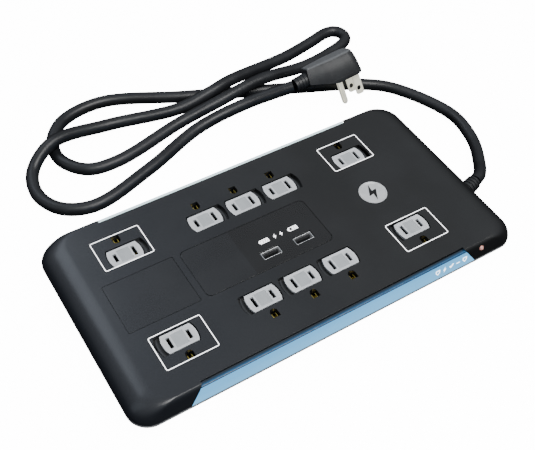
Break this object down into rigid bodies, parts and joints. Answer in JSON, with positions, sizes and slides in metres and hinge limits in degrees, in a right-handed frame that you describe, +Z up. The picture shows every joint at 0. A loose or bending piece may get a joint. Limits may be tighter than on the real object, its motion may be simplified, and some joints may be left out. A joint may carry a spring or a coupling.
{
  "type": "surge protector power strip",
  "caption": "Flat rectangular surge protector power strip with shuttered outlets, charging ports, blue side rails and a long cord ending in a flat three-prong plug.",
  "frame": {"origin": "centre of the housing's footprint, on the table under its feet", "axes": "+X along the strip towards the cord's end, +Y towards the rear rail, +Z up out of the outlets"},
  "size_m": [0.3421, 0.2784, 0.0413],
  "materials": {
    "cover_plastic": "fine satin, moulded",
    "base_plastic": "glossy, moulded",
    "panel_plastic": "smooth satin",
    "badge_print": "printed disc",
    "rail_plastic": "translucent blue",
    "lens_plastic": "clear tinted",
    "shutter_plastic": "satin light grey",
    "deck_plastic": "matte black",
    "contact_brass": "stamped strip",
    "usb_steel": "plated shell",
    "screw_steel": "zinc plated",
    "board": "solder mask",
    "ferrite": "wound core with tape",
    "can_metal": "sleeved can",
    "varistor_coat": "dipped coat",
    "fuse_body": "moulded block",
    "capacitor_case": "moulded box",
    "button_plastic": "moulded cap",
    "wire_black": "insulation",
    "wire_white": "insulation",
    "wire_green": "insulation",
    "cord_jacket": "soft vinyl jacket",
    "plug_vinyl": "soft moulded vinyl",
    "blade_metal": "nickel plated",
    "foot_rubber": "matte pad"
  },
  "bodies": {
    "housing": {"top_cover": "cover_plastic", "base_housing": "base_plastic", "left_panel": "panel_plastic", "centre_panel": "panel_plastic", "badge": "badge_print", "side_rail_rear": "rail_plastic", "side_rail_front": "rail_plastic", "indicator_lens": "lens_plastic", "indicator_lamp": "lens_plastic", "usb_board": "board", "surge_board": "board", "usb_transformer": "ferrite", "usb_capacitor": "can_metal", "varistor_1": "varistor_coat", "varistor_2": "varistor_coat", "varistor_3": "varistor_coat", "thermal_fuse": "fuse_body", "filter_capacitor": "capacitor_case", "breaker_body": "base_plastic", "hot_wire": "wire_black", "neutral_wire": "wire_white", "ground_wire": "wire_green", "strain_relief": "cord_jacket", "cord": "cord_jacket", "plug_body": "plug_vinyl", "hot_blade": "blade_metal", "neutral_blade": "blade_metal", "ground_pin": "blade_metal", "outlet_deck_rear": "deck_plastic", "hot_bus_rear": "contact_brass", "neutral_bus_rear": "contact_brass", "ground_bus_rear": "contact_brass", "foot_rear_left": "foot_rubber", "foot_rear_right": "foot_rubber", "outlet_deck_front": "deck_plastic", "hot_bus_front": "contact_brass", "neutral_bus_front": "contact_brass", "ground_bus_front": "contact_brass", "foot_front_left": "foot_rubber", "foot_front_right": "foot_rubber", "usb_shell_1": "usb_steel", "usb_tongue_1": "deck_plastic", "usb_shell_2": "usb_steel", "usb_tongue_2": "deck_plastic", "cover_screw_1": "screw_steel", "cover_screw_2": "screw_steel", "cover_screw_3": "screw_steel", "cover_screw_4": "screw_steel"},
    "shutter_rear_1": {"shutter_rear_1": "shutter_plastic"},
    "shutter_rear_2": {"shutter_rear_2": "shutter_plastic"},
    "shutter_rear_3": {"shutter_rear_3": "shutter_plastic"},
    "shutter_rear_4": {"shutter_rear_4": "shutter_plastic"},
    "shutter_rear_5": {"shutter_rear_5": "shutter_plastic"},
    "shutter_front_1": {"shutter_front_1": "shutter_plastic"},
    "shutter_front_2": {"shutter_front_2": "shutter_plastic"},
    "shutter_front_3": {"shutter_front_3": "shutter_plastic"},
    "shutter_front_4": {"shutter_front_4": "shutter_plastic"},
    "shutter_front_5": {"shutter_front_5": "shutter_plastic"},
    "breaker_button": {"breaker_button": "button_plastic"}
  },
  "joints": [
    {"name": "shutter_rear_1_slide", "type": "slide", "parent": "housing", "child": "shutter_rear_1", "axis": [1, 0, 0], "range_m": [0, 0.003]},
    {"name": "shutter_rear_2_slide", "type": "slide", "parent": "housing", "child": "shutter_rear_2", "axis": [1, 0, 0], "range_m": [0, 0.003]},
    {"name": "shutter_rear_3_slide", "type": "slide", "parent": "housing", "child": "shutter_rear_3", "axis": [1, 0, 0], "range_m": [0, 0.003]},
    {"name": "shutter_rear_4_slide", "type": "slide", "parent": "housing", "child": "shutter_rear_4", "axis": [1, 0, 0], "range_m": [0, 0.003]},
    {"name": "shutter_rear_5_slide", "type": "slide", "parent": "housing", "child": "shutter_rear_5", "axis": [1, 0, 0], "range_m": [0, 0.003]},
    {"name": "shutter_front_1_slide", "type": "slide", "parent": "housing", "child": "shutter_front_1", "axis": [-1, 0, 0], "range_m": [0, 0.003]},
    {"name": "shutter_front_2_slide", "type": "slide", "parent": "housing", "child": "shutter_front_2", "axis": [-1, 0, 0], "range_m": [0, 0.003]},
    {"name": "shutter_front_3_slide", "type": "slide", "parent": "housing", "child": "shutter_front_3", "axis": [-1, 0, 0], "range_m": [0, 0.003]},
    {"name": "shutter_front_4_slide", "type": "slide", "parent": "housing", "child": "shutter_front_4", "axis": [-1, 0, 0], "range_m": [0, 0.003]},
    {"name": "shutter_front_5_slide", "type": "slide", "parent": "housing", "child": "shutter_front_5", "axis": [-1, 0, 0], "range_m": [0, 0.003]},
    {"name": "breaker_reset", "type": "slide", "parent": "housing", "child": "breaker_button", "axis": [1, 0, 0], "range_m": [0, 0.003]}
  ]
}
